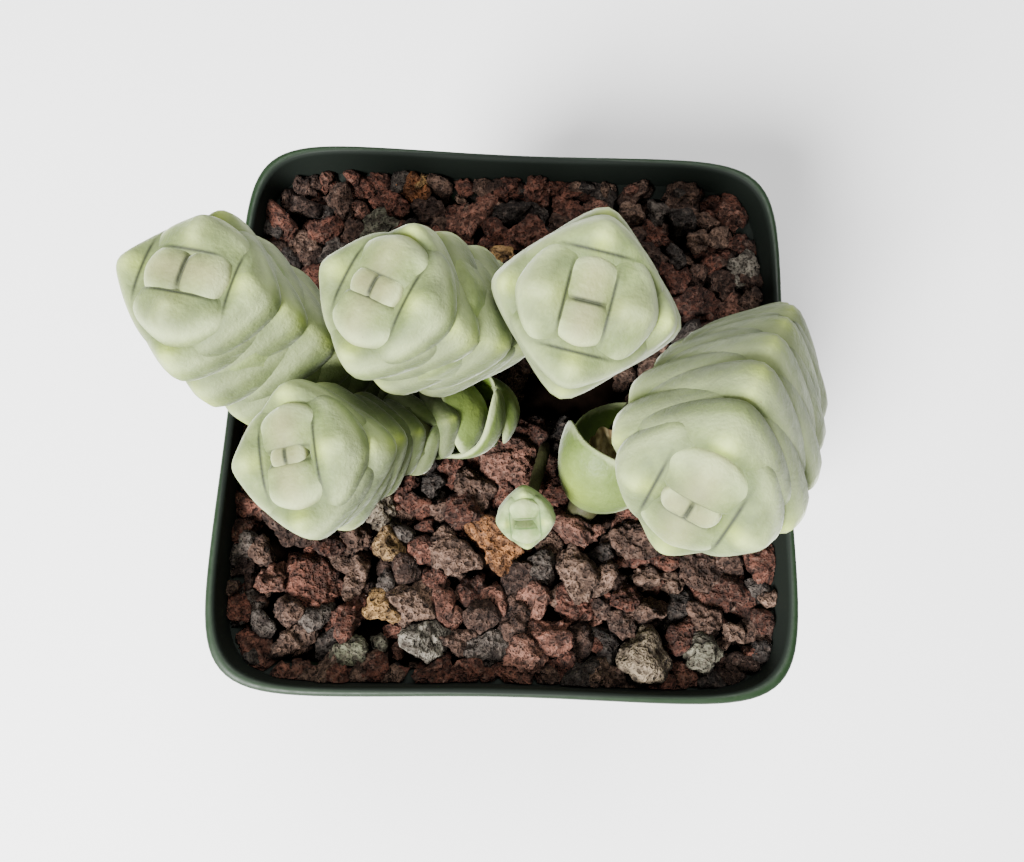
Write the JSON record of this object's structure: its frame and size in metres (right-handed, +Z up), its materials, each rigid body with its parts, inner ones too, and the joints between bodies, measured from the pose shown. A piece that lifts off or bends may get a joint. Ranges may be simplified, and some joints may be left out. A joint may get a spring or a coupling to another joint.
{
  "type": "potted crassula plegmatoides",
  "caption": "Potted succulent: leaning columns of tightly packed grey-green leaves and a young offset in lava gravel, in a square green nursery pot.",
  "frame": {"origin": "centre of the pot's flat underside", "axes": "+Z up out of the pot, +Y to the back, +X to the right as the picture shows it"},
  "size_m": [0.0931, 0.0886, 0.1289],
  "materials": {
    "pot_plastic": "dark green satin polypropylene, lighter at the rim's edge",
    "potting_mix": "dark moist crumb of bark, peat and grit",
    "lava_stone": "dry porous lava, red-brown, terracotta and dark grey",
    "leaf": "pale grey-green skin under a white powdery bloom",
    "young_leaf": "fresher pale green skin under a thin powdery bloom"
  },
  "bodies": {
    "root": {"pot": "pot_plastic", "potting_mix": "potting_mix", "lava_gravel": "lava_stone", "leafy_stem_left": "leaf", "leafy_stem_rear_left": "leaf", "leafy_stem_rear_middle": "leaf", "leafy_stem_front_left": "leaf", "leafy_stem_right": "leaf", "young_offset": "young_leaf"}
  },
  "joints": []
}
